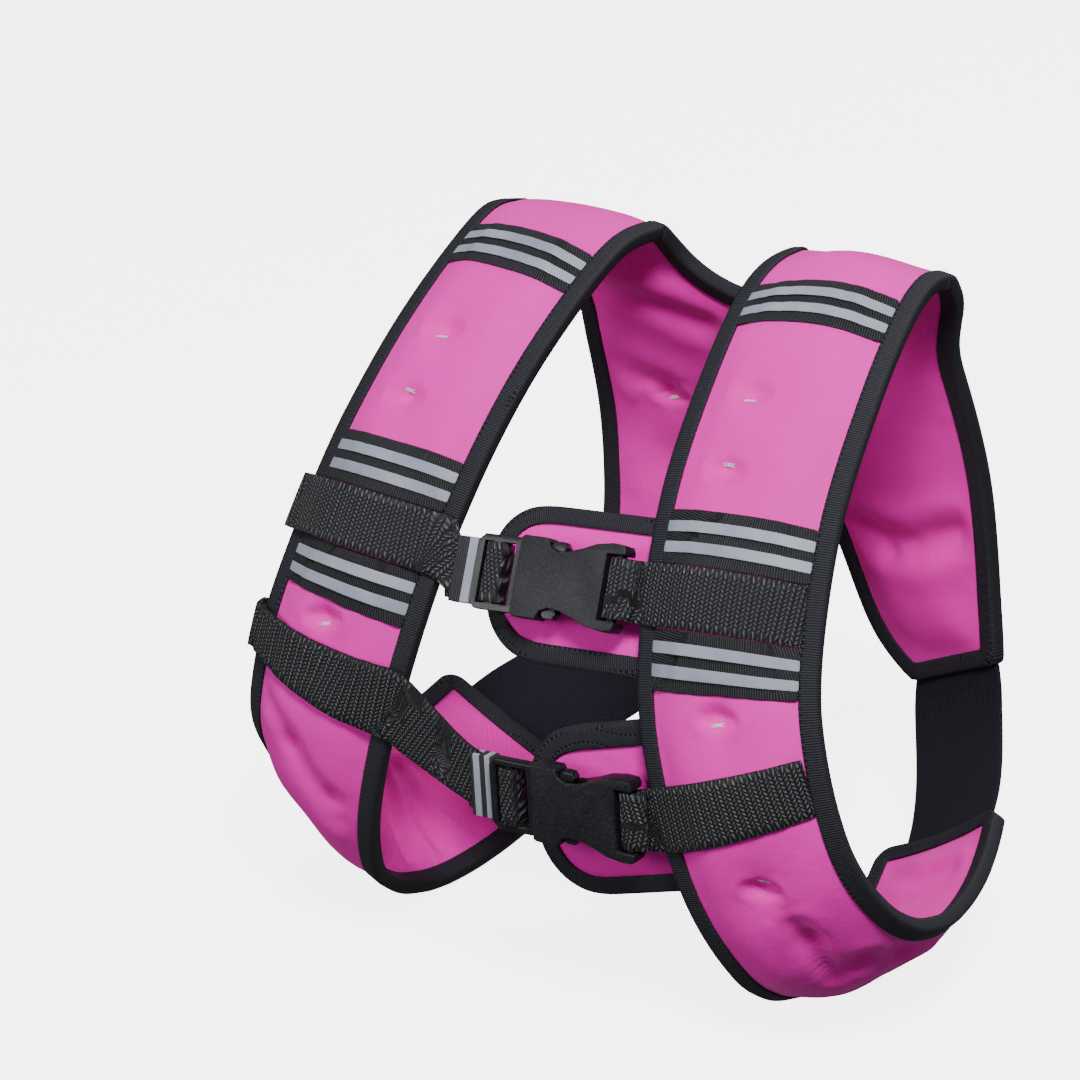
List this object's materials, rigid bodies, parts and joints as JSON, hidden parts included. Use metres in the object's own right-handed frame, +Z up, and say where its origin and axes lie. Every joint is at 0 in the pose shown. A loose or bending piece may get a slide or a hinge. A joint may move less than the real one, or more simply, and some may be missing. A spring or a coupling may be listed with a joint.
{
  "type": "weighted vest",
  "caption": "Padded weighted exercise vest with front panels, a back panel with a net pocket, two chest straps with side release buckles, and elastic sides.",
  "frame": {"origin": "between the shoulders, level with the underside of the shoulder straps", "axes": "+X towards the wearer's left, +Y towards the wearer's back, +Z up"},
  "size_m": [0.415, 0.3283, 0.3845],
  "materials": {
    "neoprene": "pink neoprene with a fine jersey face",
    "binding": "black ribbed edge binding",
    "tape": "black grosgrain tape",
    "silver": "matt silver reflective stripe",
    "webbing": "chunky black webbing",
    "elastic": "black ribbed elastic",
    "plastic": "grained black plastic with a satin sheen",
    "net": "black net"
  },
  "bodies": {
    "root": {"front_panel_left": "neoprene", "front_binding_left": "binding", "reflective_tape_left_top": "tape", "silver_stripe_left_top_a": "silver", "silver_stripe_left_top_b": "silver", "reflective_tape_left_upper": "tape", "silver_stripe_left_upper_a": "silver", "silver_stripe_left_upper_b": "silver", "reflective_tape_left_lower": "tape", "silver_stripe_left_lower_a": "silver", "silver_stripe_left_lower_b": "silver", "front_panel_right": "neoprene", "front_binding_right": "binding", "reflective_tape_right_top": "tape", "silver_stripe_right_top_a": "silver", "silver_stripe_right_top_b": "silver", "reflective_tape_right_upper": "tape", "silver_stripe_right_upper_a": "silver", "silver_stripe_right_upper_b": "silver", "reflective_tape_right_lower": "tape", "silver_stripe_right_lower_a": "silver", "silver_stripe_right_lower_b": "silver", "back_panel": "neoprene", "armhole_binding": "binding", "neck_binding": "binding", "net_pocket": "net", "pocket_hem": "tape", "side_elastic_left": "elastic", "side_elastic_right": "elastic", "webbing_left_upper": "webbing", "webbing_right_upper": "webbing", "buckle_socket_upper": "plastic", "buckle_latch_upper": "plastic", "strap_keeper_upper": "tape", "buckle_pad_upper": "neoprene", "buckle_pad_binding_upper": "binding", "webbing_left_lower": "webbing", "webbing_right_lower": "webbing", "buckle_socket_lower": "plastic", "buckle_latch_lower": "plastic", "strap_keeper_lower": "tape", "buckle_pad_lower": "neoprene", "buckle_pad_binding_lower": "binding"}
  },
  "joints": []
}
